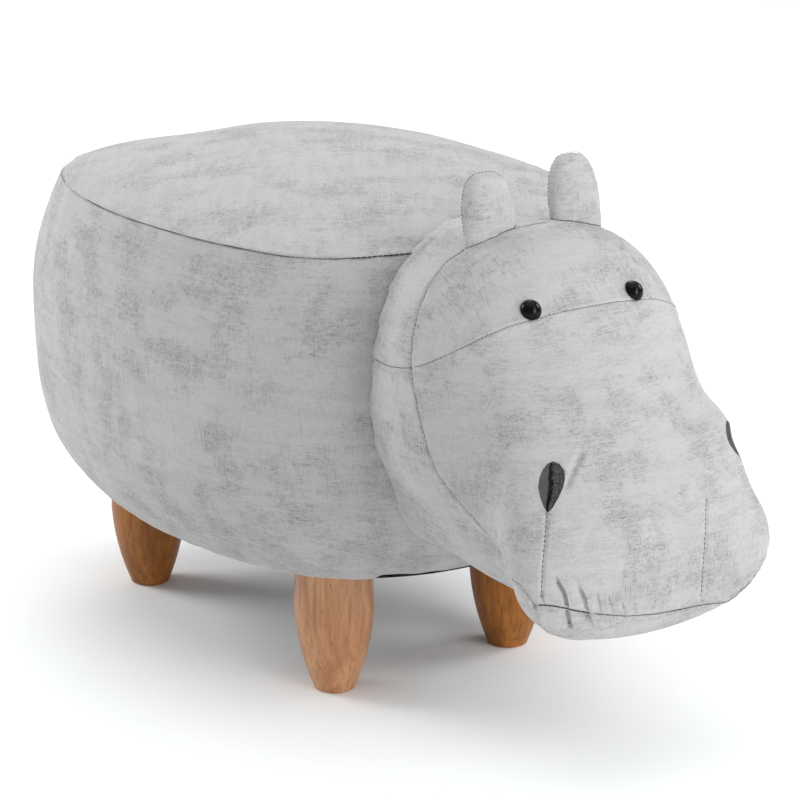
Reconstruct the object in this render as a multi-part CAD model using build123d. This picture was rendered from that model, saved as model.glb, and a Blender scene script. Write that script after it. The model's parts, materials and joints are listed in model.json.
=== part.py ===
from build123d import *
from math import atan2, cos, degrees, hypot, pi, sin
import os

os.makedirs("parts", exist_ok=True)

# An upholstered footstool in the shape of a hippo: a padded oval seat on a wooden frame,
# a stuffed head sewn to its front, a short tail and four turned legs that screw in.
# Millimetres, +Z up, the head looks along -Y and the animal's left side is +X.
# While it is built, the middle of the four feet is at X 0, Y 0 and the floor at Z 0.

# Body, measured over the cloth at five heights above the floor
base_width = 286.0
base_length = 404.0
base_set_back = 8.0
skirt_width = 322.0
skirt_length = 446.0
skirt_height = 112.0
skirt_set_back = 7.0
low_width = 356.0
low_length = 478.0
low_height = 150.0
low_set_back = 3.0
belly_width = 368.0
belly_length = 490.0
belly_height = 249.0
rim_width = 333.0
rim_length = 423.0
rim_height = 329.6
crown_rise = 28.0

# Head, measured over the cloth
head_reach = 407.0
head_top = 353.0
head_width = 224.0
head_tall = 234.0

# Cloth
cover_thickness = 1.6
turn_under = 66.0
dust_cover_thickness = 1.2
dust_cover_inset = 1.0

# Wooden frame
base_board_thickness = 12.0
seat_board_thickness = 9.0
seat_board_height = 300.0
column_margin = 12.0
wrap_thickness = 3.0
post_width = 28.0
side_post_inset = 24.0
end_post_inset = 36.0
end_post_spread = 38.0

# Countersunk wood screws of the frame
screw_length = 40.0
screw_radius = 2.0
screw_head_radius = 4.0
screw_head_depth = 2.6

# Legs and their fasteners
leg_height = 94.0
leg_side_inset = 67.0
leg_end_inset = 71.5
foot_radius = 15.0
foot_edge = 2.0
knee_radius = 23.5
knee_height = 28.0
thigh_radius = 28.5
thigh_height = 62.0
leg_top_radius = 27.2
bolt_radius = 4.0
bolt_in_leg = 32.0
bolt_rise = 20.0
bolt_point = 5.0
bolt_chamfer = 0.8
running_clearance = 0.05
bolt_hole_clearance = 0.5
bore_spare = 1.0
nut_barrel_radius = 5.4
nut_barrel_length = 10.0
nut_flange_radius = 11.0
nut_flange_thickness = 1.5
prong_count = 4
prong_length = 6.0
prong_width = 3.0
prong_thickness = 1.2
prong_circle = 9.6

# Staples that hold the turned-under cloth and the dust cover
staple_places = 24
staple_inset = 11.0
staple_crown = 10.0
staple_wire = 0.7
staple_leg = 8.0
staple_leg_clearance = 2.0

# Face
eye_radius = 7.2
eye_rise = 5.6
eye_spread = 42.0
eye_height = 312.0
shank_radius = 2.2
shank_length = 14.0
washer_radius = 8.0
washer_thickness = 1.2
washer_clearance = 0.5
nostril_width = 19.0
nostril_tall = 38.0
nostril_spread = 71.0
nostril_height = 216.0

# Ears
ear_width = 41.0
ear_thick = 17.0
ear_top = 392.0
ear_root = 334.0
ear_spread = 35.0
ear_back = 257.0
ear_lean = 9.0

# Tail
tail_width = 24.0
tail_thick = 15.0
tail_top = 292.0
tail_tip = 206.0
tail_stand_off = 3.0
tail_lean = 9.0

# Where the corner of an oval lies, as a share of its half width and half length
diagonal_share = 0.749

# Crown of the seat: size of each level as a share of the rim, and its share of the rise
crown_shares = [(1.0, 0.0), (0.90, 0.27), (0.74, 0.55), (0.53, 0.79), (0.30, 0.94), (0.10, 1.0)]

# Head from neck to muzzle: shares of its reach, top height, width and tallness
head_shares = [
    (0.369, 0.640, 0.714, 0.930),
    (0.430, 0.648, 0.800, 0.955),
    (0.490, 0.656, 0.880, 0.978),
    (0.553, 0.663, 0.946, 0.991),
    (0.644, 0.669, 1.000, 1.000),
    (0.737, 0.629, 0.929, 0.923),
    (0.835, 0.548, 0.830, 0.705),
    (0.921, 0.467, 0.925, 0.487),
    (0.962, 0.436, 0.860, 0.387),
    (0.985, 0.426, 0.710, 0.305),
    (0.997, 0.421, 0.460, 0.192),
    (1.000, 0.420, 0.180, 0.075),
]

# Seams of the head in side view: shares of its reach and of its top height
seam_top_share = (0.631, 0.997)
seam_side_share = (0.607, 0.723)
mouth_corner_share = (0.830, 0.340)
chin_back_share = (0.800, 0.110)
mouth_front_share = (1.050, 0.377)
gusset_seam_share = (0.531, 0.751)
eye_seam_share = (0.759, 0.858)
brow_seam_share = (1.100, 0.867)

# Ear and tail levels: share of the rise, then shares of the width and thickness
ear_shares = [(0.0, 0.84, 0.85), (0.30, 0.95, 0.95), (0.62, 1.0, 1.0), (0.86, 0.80, 0.86), (0.97, 0.54, 0.62)]
ear_shares = ear_shares + [(1.0, 0.30, 0.38)]
tail_shares = [(0.0, 0.70, 0.60), (0.20, 0.90, 0.90), (0.60, 1.0, 1.0), (0.88, 0.80, 0.80), (1.0, 0.36, 0.36)]

# Levels that the sizes above set
board_bottom = leg_height + dust_cover_thickness + cover_thickness
board_top = board_bottom + base_board_thickness
cloth_bottom = leg_height + dust_cover_thickness
seat_board_top = seat_board_height + seat_board_thickness
overrun = base_length
rear_reach = belly_length / 2 + tail_stand_off + tail_thick / 2
centre_shift = (head_reach - rear_reach) / 2
leg_spread = base_width / 2 - leg_side_inset
leg_stance = base_length / 2 - leg_end_inset
leg_places = {
    "front_left": (leg_spread, -leg_stance),
    "front_right": (-leg_spread, -leg_stance),
    "rear_left": (leg_spread, leg_stance),
    "rear_right": (-leg_spread, leg_stance),
}


def export(shape, name):
    # The finished part is moved so that the middle of its box is over the origin.
    export_step(Pos(0, centre_shift, 0) * shape, "parts/" + name + ".step")


def arc_step(radius, start, end):
    # How far a tangent arc moves while its outward direction turns from start to end.
    return Vector(radius * (cos(end) - cos(start)), radius * (sin(end) - sin(start)))


def biarc(start, finish, turned, turn):
    # Two tangent arcs that share a turn evenly: a point on each, and their joint between.
    middle = (turned + turn) / 2
    move = finish - start
    first = arc_step(1, turned, middle)
    second = arc_step(1, middle, turn)
    spread = first.X * second.Y - second.X * first.Y
    first_radius = (move.X * second.Y - second.X * move.Y) / spread
    second_radius = (first.X * move.Y - move.X * first.Y) / spread
    on_first = start + arc_step(first_radius, turned, (turned + middle) / 2)
    joint = start + first * first_radius
    on_second = joint + arc_step(second_radius, middle, (middle + turn) / 2)
    return on_first, joint, on_second


def oval(half_x, half_y):
    # A soft oval of twelve tangent arcs, a little fuller at its corners than an ellipse.
    side = Vector(half_x, 0)
    corner = Vector(diagonal_share * half_x, diagonal_share * half_y)
    end = Vector(0, half_y)
    turn = atan2(half_x, half_y)
    on_side, low_joint, low_bend = biarc(side, corner, 0, turn)
    high_bend, high_joint, on_end = biarc(corner, end, turn, pi / 2)
    quarter = [low_joint, low_bend, corner, high_bend, high_joint]
    mirrored = [Vector(-point.X, point.Y) for point in reversed(quarter[1:])]
    half_ring = [Vector(low_joint.X, -low_joint.Y), side] + quarter + [end] + mirrored
    ring = half_ring + [point * -1 for point in half_ring]
    arcs = []
    for start in range(0, len(ring), 2):
        arcs.append(ThreePointArc(ring[start], ring[start + 1], ring[(start + 2) % len(ring)]))
    return make_face(arcs)


def plate(outline, bottom, thickness):
    return Pos(0, base_set_back, bottom) * extrude(outline, thickness)


def body_form(inset):
    # The band round the body, from the board to the rim, swelling at the belly.
    levels = [
        (cloth_bottom, base_width, base_length, base_set_back),
        (skirt_height, skirt_width, skirt_length, skirt_set_back),
        (low_height, low_width, low_length, low_set_back),
        (belly_height, belly_width, belly_length, 0),
        (rim_height, rim_width, rim_length, 0),
    ]
    sections = []
    for height, width, length, back in levels:
        sections.append(Pos(0, back, height) * oval(width / 2 - inset, length / 2 - inset))
    return loft(sections)


def crown_form(inset):
    # The domed top of the seat, from the rim up.
    sections = []
    for size_share, rise_share in crown_shares:
        lowered = inset if rise_share else 0
        section = oval(rim_width * size_share / 2 - inset, rim_length * size_share / 2 - inset)
        sections.append(Pos(0, 0, rim_height + crown_rise * rise_share - lowered) * section)
    return loft(sections)


def head_form(inset):
    # Upright ovals from inside the body to the end of the muzzle.
    sections = []
    for reach_share, height_share, width_share, tall_share in head_shares:
        reach = head_reach * reach_share
        if reach_share == head_shares[-1][0]:
            reach = reach - inset
        section = oval(head_width * width_share / 2 - inset, head_tall * tall_share / 2 - inset)
        upright = Plane(origin=(0, -reach, head_top * height_share), x_dir=(1, 0, 0), z_dir=(0, -1, 0))
        sections.append(upright * section)
    return loft(sections)


def side_point(share):
    return (-head_reach * share[0], head_top * share[1])


def side_zone(edges):
    # A zone of the head drawn in side view and run right through it.
    return extrude(Plane.YZ * make_face(edges), overrun, both=True)


def outer_point(solid, axis):
    # Where an axis leaves a solid, with the surface's direction there.
    hits = solid.find_intersection_points(axis)
    hits = [(point, normal) for point, normal in hits if (point - axis.position).dot(axis.direction) > 0]
    point, normal = max(hits, key=lambda hit: (hit[0] - axis.position).dot(axis.direction))
    if normal.dot(axis.direction) < 0:
        normal = normal * -1
    return point, normal


# Body solids that the covers, the padding and the cut of the head all share
body_outside = body_form(0)
above_board = Pos(0, base_set_back, board_bottom) * extrude(oval(base_width, base_length), overrun)
body_inside = body_form(cover_thickness) & above_board
crown_outside = crown_form(0)
crown_inside = crown_form(cover_thickness)
body_solid = body_outside + crown_outside

# Outlines in plan
board_half_x = base_width / 2 - cover_thickness
board_half_y = base_length / 2 - cover_thickness
column_half_x = board_half_x - column_margin
column_half_y = board_half_y - column_margin
board_outline = oval(board_half_x, board_half_y)
column_outline = oval(column_half_x, column_half_y)
column_inner = oval(column_half_x - wrap_thickness, column_half_y - wrap_thickness)
side_post_offset = column_half_x - wrap_thickness - side_post_inset
end_post_offset = column_half_y - wrap_thickness - end_post_inset

# Fasteners: one T-nut, one bolt, one screw and one staple, each about its own axis
nut_profile = Polyline(
    (bolt_radius + running_clearance, 0),
    (nut_barrel_radius, 0),
    (nut_barrel_radius, nut_barrel_length),
    (nut_flange_radius, nut_barrel_length),
    (nut_flange_radius, nut_barrel_length + nut_flange_thickness),
    (bolt_radius + running_clearance, nut_barrel_length + nut_flange_thickness),
    close=True,
)
t_nut = revolve(Plane.XZ * make_face(nut_profile), Axis.Z)
prong = extrude(Rectangle(prong_thickness, prong_width), prong_length)
for spot in PolarLocations(prong_circle, prong_count):
    t_nut = t_nut + Pos(0, 0, nut_barrel_length - prong_length) * spot * prong

bolt_profile = Polyline(
    (0, -bolt_in_leg),
    (bolt_radius, bolt_point - bolt_in_leg),
    (bolt_radius, bolt_rise - bolt_chamfer),
    (bolt_radius - bolt_chamfer, bolt_rise),
    (0, bolt_rise),
    close=True,
)
bolt = revolve(Plane.XZ * make_face(bolt_profile), Axis.Z)

screw_profile = Polyline(
    (0, 0),
    (screw_head_radius, 0),
    (screw_radius, screw_head_depth),
    (screw_radius, screw_length),
    (0, screw_length),
    close=True,
)
screw = revolve(Plane.XZ * make_face(screw_profile), Axis.Z)

staple_outline = Rectangle(staple_crown, staple_wire)
staple_end = Rectangle(staple_wire, staple_wire)
staple = Pos(0, 0, -staple_wire) * extrude(staple_outline, staple_wire)
for side in (-1, 1):
    staple = staple + Pos(side * (staple_crown - staple_wire) / 2) * extrude(staple_end, staple_leg)

# Frame posts stand between the boards, two at the sides and two at each end
post_places = {
    "side_left": (side_post_offset, 0),
    "side_right": (-side_post_offset, 0),
    "front_left": (end_post_spread, -end_post_offset),
    "front_right": (-end_post_spread, -end_post_offset),
    "rear_left": (end_post_spread, end_post_offset),
    "rear_right": (-end_post_spread, end_post_offset),
}
screws = []
for x, y in post_places.values():
    screws.append(Pos(x, y + base_set_back, board_bottom) * screw)
    screws.append(Pos(x, y + base_set_back, seat_board_top) * Rot(X=180) * screw)
post_blank = extrude(Rectangle(post_width, post_width), seat_board_height - board_top)
for name, (x, y) in post_places.items():
    post = Pos(x, y + base_set_back, board_top) * post_blank
    export(post - screws, "frame_post_" + name)
export(Compound(screws), "frame_screws")

# Staples follow the edge of the board and keep clear of the legs
staple_line = Pos(0, base_set_back, leg_height) * oval(base_width / 2 - staple_inset, base_length / 2 - staple_inset)
staple_line = staple_line.wire()
staples = []
for number in range(staple_places):
    spot = staple_line @ (number / staple_places)
    heading = staple_line % (number / staple_places)
    to_leg = min(hypot(spot.X - x, spot.Y - y) for x, y in leg_places.values())
    if to_leg > leg_top_radius + staple_crown / 2 + staple_leg_clearance:
        staples.append(Pos(spot) * Rot(Z=degrees(atan2(heading.Y, heading.X))) * staple)
export(Compound(staples), "staples")

# Boards and the fibreboard wrap
bolt_holes = []
nuts = []
for x, y in leg_places.values():
    hole = extrude(Circle(bolt_radius + bolt_hole_clearance), board_top - leg_height)
    bolt_holes.append(Pos(x, y, leg_height) * hole)
    nuts.append(Pos(x, y, board_top - nut_barrel_length) * t_nut)
nut_bores = []
for x, y in leg_places.values():
    nut_bores.append(Pos(x, y, board_bottom) * extrude(Circle(nut_barrel_radius), base_board_thickness))
base_board = plate(board_outline, board_bottom, base_board_thickness)
base_board = base_board - nut_bores - nuts - screws - staples
export(base_board, "base_board")
seat_board = plate(column_outline, seat_board_height, seat_board_thickness)
export(seat_board - screws, "seat_board")
wrap = plate(column_outline - column_inner, board_top, seat_board_height - board_top)
export(wrap, "frame_wrap")

# Padding: a thick belt round the frame and a domed pad on the seat board
column = plate(column_outline, board_top, rim_height - board_top)
body_padding = body_inside - plate(board_outline, board_bottom, base_board_thickness) - column
export(body_padding, "body_padding")
seat_foam = crown_inside + plate(column_outline, seat_board_top, rim_height - seat_board_top)
export(seat_foam, "seat_foam")

# Covers of the body, with the cloth turned under the board, and the dust cover
turned_inner = oval(base_width / 2 - turn_under, base_length / 2 - turn_under)
body_cover = body_outside - body_inside - plate(turned_inner, cloth_bottom, cover_thickness)
export(body_cover - bolt_holes - staples, "body_cover")
export(crown_outside - crown_inside, "seat_cover")
dust_outline = oval(base_width / 2 - dust_cover_inset, base_length / 2 - dust_cover_inset)
dust_cover = plate(dust_outline, leg_height, dust_cover_thickness)
export(dust_cover - bolt_holes - staples, "dust_cover")

# Eyes: a domed button on a shank, held behind the cloth by a washer
head_outside = head_form(0)
head_inside = head_form(cover_thickness)
ball_radius = (eye_radius**2 + eye_rise**2) / (2 * eye_rise)
half_turn = atan2(eye_radius, ball_radius - eye_rise) / 2
on_dome = (ball_radius * sin(half_turn), eye_rise - ball_radius * (1 - cos(half_turn)))
eye_profile = make_face(
    [
        ThreePointArc((eye_radius, 0), on_dome, (0, eye_rise)),
        Line((0, eye_rise), (0, -shank_length)),
        Line((0, -shank_length), (shank_radius, -shank_length)),
        Line((shank_radius, -shank_length), (shank_radius, 0)),
        Line((shank_radius, 0), (eye_radius, 0)),
    ]
)
eye = revolve(Plane.XZ * eye_profile, Axis.Z)
washer = extrude(Circle(washer_radius) - Circle(shank_radius), washer_thickness)
eyes = {}
washers = {}
for name, side in (("left", 1), ("right", -1)):
    sight = Axis((side * eye_spread, 0, eye_height), (0, -1, 0))
    point, normal = outer_point(head_outside, sight)
    seat = Plane(origin=point, z_dir=normal)
    eyes[name] = seat * eye
    washers[name] = seat * Pos(0, 0, -cover_thickness - washer_clearance - washer_thickness) * washer
    export(eyes[name], "eye_" + name)
    export(washers[name], "eye_washer_" + name)

# Nostrils: a leaf-shaped patch let into the muzzle cloth on each side
leaf = make_face(
    [
        ThreePointArc(
            (0, -nostril_tall / 2),
            (nostril_width / 2, nostril_tall * 0.06),
            (nostril_width * 0.24, nostril_tall * 0.46),
        ),
        ThreePointArc(
            (nostril_width * 0.24, nostril_tall * 0.46),
            (0, nostril_tall / 2),
            (-nostril_width * 0.24, nostril_tall * 0.46),
        ),
        ThreePointArc(
            (-nostril_width * 0.24, nostril_tall * 0.46),
            (-nostril_width / 2, nostril_tall * 0.06),
            (0, -nostril_tall / 2),
        ),
    ]
)
leaves = {}
for name, side in (("left", 1), ("right", -1)):
    breath = Axis((side * nostril_spread, 0, nostril_height), (0, -1, 0))
    point, normal = outer_point(head_outside, breath)
    level = Vector(0, 0, 1).cross(normal)
    seat = Plane(origin=point, x_dir=level, z_dir=normal)
    leaves[name] = seat * extrude(leaf, nostril_width / 2, both=True)

# Head: the stuffing, and its cloth cut into the five panels of the real pattern
cloth = head_outside - head_inside - body_solid
fixings = list(eyes.values()) + list(washers.values())
export(head_inside - body_solid - fixings, "head_stuffing")
seam_top = side_point(seam_top_share)
seam_side = side_point(seam_side_share)
mouth_corner = side_point(mouth_corner_share)
chin_back = side_point(chin_back_share)
mouth_front = side_point(mouth_front_share)
above_seam = (seam_top[0], head_top + ear_thick)
behind_top = (0, head_top + ear_thick)
behind_bottom = (0, chin_back[1])
gusset_zone = side_zone(
    [
        ThreePointArc(seam_top, seam_side, mouth_corner),
        Line(mouth_corner, chin_back),
        Line(chin_back, behind_bottom),
        Line(behind_bottom, behind_top),
        Line(behind_top, above_seam),
        Line(above_seam, seam_top),
    ]
)
gusset_seam = side_point(gusset_seam_share)
eye_seam = side_point(eye_seam_share)
brow_seam = side_point(brow_seam_share)
upper_zone = side_zone(
    [
        Line((0, gusset_seam[1]), gusset_seam),
        Line(gusset_seam, seam_side),
        Line(seam_side, eye_seam),
        Line(eye_seam, brow_seam),
        Line(brow_seam, (brow_seam[0], behind_top[1])),
        Line((brow_seam[0], behind_top[1]), behind_top),
        Line(behind_top, (0, gusset_seam[1])),
    ]
)
chin_front = (mouth_front[0], chin_back[1])
chin_zone = side_zone(
    [
        Line(mouth_corner, mouth_front),
        Line(mouth_front, chin_front),
        Line(chin_front, chin_back),
        Line(chin_back, mouth_corner),
    ]
)
gusset = cloth & gusset_zone
face = cloth - gusset_zone
export((gusset & upper_zone) - fixings, "head_upper_gusset")
export(gusset - upper_zone, "head_lower_gusset")
export((face & upper_zone) - fixings, "forehead_panel")
export(face & chin_zone, "chin_panel")
export(face - upper_zone - chin_zone - list(leaves.values()), "muzzle_panel")
for name, leaf_zone in leaves.items():
    export(cloth & leaf_zone, "nostril_patch_" + name)


def ear_form(inset):
    sections = []
    rise = ear_top - ear_root
    for rise_share, width_share, thick_share in ear_shares:
        lowered = inset if rise_share == 1 else 0
        section = oval(ear_width * width_share / 2 - inset, ear_thick * thick_share / 2 - inset)
        height = rise * rise_share - lowered
        sections.append(Pos(0, ear_lean * height / rise - ear_back, ear_root + height) * section)
    return loft(sections)


# Ears: each stands in the seam at the top of the head, a stuffed cloth loop
for name, side in (("left", 1), ("right", -1)):
    ear_outside = Pos(side * ear_spread, 0, 0) * ear_form(0)
    ear_inside = Pos(side * ear_spread, 0, 0) * ear_form(cover_thickness)
    export(ear_outside - ear_inside - head_outside, "ear_cover_" + name)
    export(ear_inside - head_outside, "ear_stuffing_" + name)

# Tail: a short stuffed strip sewn to the back of the body
tail_sections = []
for drop_share, width_share, thick_share in tail_shares:
    height = tail_top + (tail_tip - tail_top) * drop_share
    back = belly_length / 2 + tail_stand_off - tail_lean * (1 - drop_share) ** 2
    section = oval(tail_width * width_share / 2, tail_thick * thick_share / 2)
    tail_sections.append(Pos(0, back, height) * section)
export(loft(tail_sections) - body_solid, "tail")

# Legs: turned wood on a hanger bolt that screws into a T-nut in the board
leg_profile = make_face(
    [
        Line((0, 0), (foot_radius - foot_edge, 0)),
        ThreePointArc(
            (foot_radius - foot_edge, 0),
            (foot_radius - foot_edge * 0.25, foot_edge * 0.35),
            (foot_radius, foot_edge),
        ),
        ThreePointArc((foot_radius, foot_edge), (knee_radius, knee_height), (thigh_radius, thigh_height)),
        Line((thigh_radius, thigh_height), (leg_top_radius, leg_height)),
        Line((leg_top_radius, leg_height), (0, leg_height)),
        Line((0, leg_height), (0, 0)),
    ]
)
leg_blank = revolve(Plane.XZ * leg_profile, Axis.Z)
bolt_bore = Pos(0, 0, leg_height - bolt_in_leg - bore_spare)
bolt_bore = bolt_bore * extrude(Circle(bolt_radius + running_clearance), bolt_in_leg + bore_spare)
leg = leg_blank - bolt_bore
for name, (x, y) in leg_places.items():
    export(Pos(x, y, 0) * leg, "leg_" + name)
    export(Pos(x, y, leg_height) * bolt, "leg_bolt_" + name)
    export(Pos(x, y, board_top - nut_barrel_length) * t_nut, "t_nut_" + name)
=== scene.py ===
# %% [markdown]
# # Hippo footstool
# The stool comes in as finished solids at their real size, with every board, bolt and cloth
# panel a piece of its own. This lesson dresses it: the padded forms are made again as cloth
# that swells over its filling, and every surface gets a finish of its own. Lengths are in
# metres, the floor is at Z 0, the head looks along -Y and the animal's left side is +X.

import json
import math

import bmesh
import bpy
from mathutils import Matrix, Vector, noise
from mathutils.bvhtree import BVHTree
from mathutils.kdtree import KDTree


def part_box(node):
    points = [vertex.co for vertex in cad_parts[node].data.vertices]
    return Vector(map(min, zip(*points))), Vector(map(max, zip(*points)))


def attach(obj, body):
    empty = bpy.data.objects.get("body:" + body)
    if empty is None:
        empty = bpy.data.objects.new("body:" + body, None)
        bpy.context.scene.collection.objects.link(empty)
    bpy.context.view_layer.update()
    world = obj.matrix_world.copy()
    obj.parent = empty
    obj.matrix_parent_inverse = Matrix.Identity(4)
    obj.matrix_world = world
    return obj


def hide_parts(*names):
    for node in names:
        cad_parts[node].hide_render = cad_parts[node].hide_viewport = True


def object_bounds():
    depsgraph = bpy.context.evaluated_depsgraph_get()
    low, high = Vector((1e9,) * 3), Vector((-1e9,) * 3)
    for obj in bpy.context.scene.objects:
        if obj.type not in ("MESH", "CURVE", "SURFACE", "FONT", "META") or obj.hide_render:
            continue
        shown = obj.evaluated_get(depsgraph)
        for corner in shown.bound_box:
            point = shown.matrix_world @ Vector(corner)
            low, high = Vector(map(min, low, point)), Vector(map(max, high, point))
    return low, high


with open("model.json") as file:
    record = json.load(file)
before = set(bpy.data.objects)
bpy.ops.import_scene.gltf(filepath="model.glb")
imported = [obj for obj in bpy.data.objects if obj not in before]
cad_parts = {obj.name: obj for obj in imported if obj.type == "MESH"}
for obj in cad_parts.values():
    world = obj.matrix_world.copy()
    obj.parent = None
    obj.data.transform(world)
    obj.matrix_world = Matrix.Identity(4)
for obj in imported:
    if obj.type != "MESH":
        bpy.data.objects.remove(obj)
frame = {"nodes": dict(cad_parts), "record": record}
nodes = frame["nodes"]
solid_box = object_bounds()
mm = 0.001
print(len(nodes), "solids, from", solid_box[0], "to", solid_box[1])

# %% [markdown]
# ## Camera
# The photograph was taken with a long lens a little above the seat, from the animal's right
# front. A camera that looks from the same direction and distance gives the same outlines. The
# lens follows from the focal length that was measured in pixels of the 800 pixel picture.

# %% Set the camera
picture_side = 800
focal_pixels = 3000
azimuth = math.radians(-34.5)
elevation = math.radians(17.1)
camera_place = Vector((-1.1561, -1.70795, 0.8196))


def linked(name, data):
    made = bpy.data.objects.new(name, data)
    bpy.context.scene.collection.objects.link(made)
    return made


camera_data = bpy.data.cameras.new("camera")
camera_data.lens = focal_pixels / picture_side * camera_data.sensor_width
camera = linked("camera", camera_data)
bpy.context.scene.camera = camera
sideways = math.cos(elevation)
camera_back = Vector(
    (math.sin(azimuth) * sideways, -math.cos(azimuth) * sideways, math.sin(elevation))
)
picture_right = Vector((math.cos(azimuth), math.sin(azimuth), 0))
camera.location = camera_place
camera.rotation_mode = "QUATERNION"
camera.rotation_quaternion = (-camera_back).to_track_quat("-Z", "Y")
print("lens", camera_data.lens, "mm")

# %% [markdown]
# ## Finishes from nodes
# A finish is a small tree of shader nodes. One helper adds a node, sets its options and links
# its inputs, so that each finish below reads like a recipe. Colours are written as the hex
# values that a picture shows, and one function turns them into the linear values that light
# is worked out with.

# %% Helpers for finishes
def linear(hex_code, alpha=1.0):
    channels = [int(hex_code[i : i + 2], 16) / 255 for i in (1, 3, 5)]
    return [c / 12.92 if c <= 0.04045 else ((c + 0.055) / 1.055) ** 2.4 for c in channels] + [alpha]


def add(tree, kind, options=None, inputs=None):
    made = tree.nodes.new("ShaderNode" + kind)
    for key, value in (options or {}).items():
        setattr(made, key, value)
    for key, value in (inputs or {}).items():
        if isinstance(value, bpy.types.NodeSocket):
            tree.links.new(value, made.inputs[key])
        else:
            made.inputs[key].default_value = value
    return made


def finish_for(name, roughness=0.5, metallic=0.0, ior=1.5):
    material = bpy.data.materials.new(name)
    material.use_nodes = True
    shader = material.node_tree.nodes["Principled BSDF"]
    shader.inputs["Roughness"].default_value = roughness
    shader.inputs["Metallic"].default_value = metallic
    shader.inputs["IOR"].default_value = ior
    return material, material.node_tree, shader


def pattern(
    tree, scale, stretch=(1, 1, 1), detail=3.0, roughness=0.55, distortion=0.0, shift=0.0, turn=0.0
):
    # A cloudy pattern in object space: scale is one over the size of its spots in metres.
    place = add(tree, "TexCoord").outputs["Object"]
    if turn:
        turned = add(tree, "Mapping", inputs={"Vector": place, "Rotation": (0, 0, turn)})
        place = turned.outputs["Vector"]
    moved = {"Vector": place, "Scale": stretch, "Location": (shift, shift, shift)}
    sized = add(tree, "Mapping", inputs=moved)
    return add(
        tree,
        "TexNoise",
        inputs={
            "Vector": sized.outputs["Vector"],
            "Scale": scale,
            "Detail": detail,
            "Roughness": roughness,
            "Distortion": distortion,
        },
    ).outputs["Fac"]


def ramp(tree, value, low, high, to_low=0.0, to_high=1.0):
    return add(
        tree,
        "MapRange",
        {"interpolation_type": "SMOOTHSTEP"},
        {"Value": value, "From Min": low, "From Max": high, "To Min": to_low, "To Max": to_high},
    ).outputs["Result"]


def times(tree, first, second, operation="MULTIPLY"):
    return add(tree, "Math", {"operation": operation}, {0: first, 1: second}).outputs["Value"]


def blend_colours(tree, share, first, second):
    mixed = add(tree, "Mix", {"data_type": "RGBA"}, {"Factor": share, 6: first, 7: second})
    return mixed.outputs[2]


def bump(tree, shader, height, depth, below=None):
    inputs = {"Height": height, "Distance": depth, "Strength": 1.0}
    if below is not None:
        inputs["Normal"] = below
    normal = add(tree, "Bump", inputs=inputs).outputs["Normal"]
    tree.links.new(normal, shader.inputs["Normal"])
    return normal


# %% [markdown]
# ## Brushed faux suede
# The cover is polyester faux suede: a dense nap on a woven back, printed with a worn, clouded
# grey. What the eye sees are pale ground, darker patches two to four centimetres across where
# the nap lies the other way, and in them fine dark specks in rows. The patches are a cloudy
# noise, frayed by two noises stretched along and across the cloth, and cut with a soft
# threshold. The real threads are 0.3 mm, drawn here at about a millimetre so that they show.

# %% Faux suede
patch_size = 34 * mm
fray_size = 3.2 * mm
thread_size = 0.9 * mm
grain_size = 0.75 * mm
streak_size = 1.5 * mm
pale_nap, dark_nap = "#b3b2b1", "#6d6c6b"


def suede(name, shift, along=(1, 1, 7), across=(7, 7, 1), patch=(1, 1, 1), turn=0.0):
    material, tree, shader = finish_for(name, roughness=0.9)
    shader.inputs["Sheen Weight"].default_value = 0.08
    shader.inputs["Sheen Roughness"].default_value = 0.5
    shader.inputs["Specular IOR Level"].default_value = 0.15
    run_along = [1 / s for s in along]
    run_across = [1 / s for s in across]

    def crossed(size, detail, seed):
        # Noise drawn out along the cloth plus noise drawn out across it, about zero.
        warp = pattern(tree, 1 / size, run_along, detail, 0.6, shift=shift + seed, turn=turn)
        weft = pattern(tree, 1 / size, run_across, detail, 0.6, shift=shift + seed + 3, turn=turn)
        return times(tree, times(tree, warp, weft, "ADD"), 1.0, "SUBTRACT")

    clouds = pattern(tree, 1 / patch_size, patch, 4, 0.55, distortion=0.25, shift=shift, turn=turn)
    frayed = times(tree, clouds, times(tree, crossed(fray_size, 3, 1.0), 0.32), "ADD")
    patches = ramp(tree, frayed, 0.42, 0.66)
    threads = crossed(thread_size, 2, 0.0)
    grain = pattern(tree, 1 / grain_size, detail=2, roughness=0.7, shift=shift)
    specks = ramp(tree, times(tree, grain, times(tree, threads, 0.7), "ADD"), 0.48, 0.66)
    long_run = [s / 5 for s in run_across]
    streaks = pattern(tree, 1 / streak_size, long_run, 3, 0.6, shift=shift + 5, turn=turn)
    speck_share = times(tree, times(tree, patches, 0.28), 0.09, "ADD")
    share = times(tree, times(tree, patches, 0.16), times(tree, specks, speck_share), "ADD")
    share = times(tree, share, times(tree, threads, 0.30), "ADD")
    share = times(tree, share, times(tree, ramp(tree, streaks, 0.35, 0.65), 0.12), "ADD")
    held = add(tree, "Clamp", inputs={"Value": share}).outputs["Result"]
    colour = blend_colours(tree, held, linear(pale_nap), linear(dark_nap))
    tree.links.new(colour, shader.inputs["Base Color"])
    fine = bump(tree, shader, grain, 0.10 * mm)
    bump(tree, shader, threads, 0.10 * mm, fine)
    return material


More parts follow.
